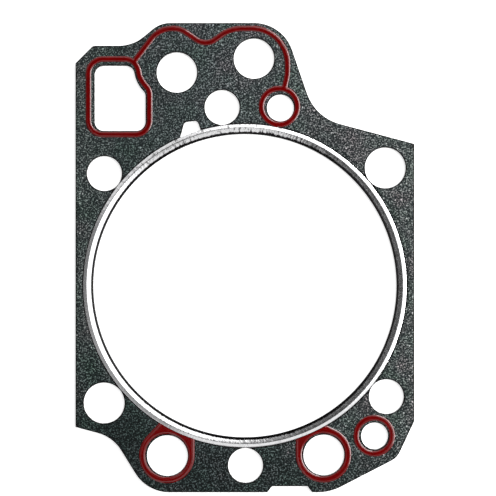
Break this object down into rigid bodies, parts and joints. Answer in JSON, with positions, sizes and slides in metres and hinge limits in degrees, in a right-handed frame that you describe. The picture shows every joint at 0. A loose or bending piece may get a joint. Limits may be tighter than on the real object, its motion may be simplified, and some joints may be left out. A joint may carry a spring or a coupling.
{
  "type": "cylinder head gasket",
  "caption": "Flat sealing sheet between one engine cylinder and its head, with a steel ring round the bore and raised silicone beads round its oil and coolant holes.",
  "frame": {"origin": "middle of the cylinder bore, halfway through the sheet", "axes": "+Z along the bore towards the cylinder head, +Y towards the end with the pushrod holes, +X to the right seen from the head"},
  "size_m": [0.1464, 0.2028, 0.002],
  "materials": {
    "gasket_board": "matte",
    "ring_steel": "satin",
    "bead_silicone": "satin"
  },
  "bodies": {
    "root": {"gasket_sheet": "gasket_board", "fire_ring": "ring_steel", "window_bead_front": "bead_silicone", "window_bead_back": "bead_silicone", "oil_bead_front": "bead_silicone", "oil_bead_back": "bead_silicone", "left_coolant_bead_front": "bead_silicone", "left_coolant_bead_back": "bead_silicone", "right_coolant_bead_front": "bead_silicone", "right_coolant_bead_back": "bead_silicone"}
  },
  "joints": []
}
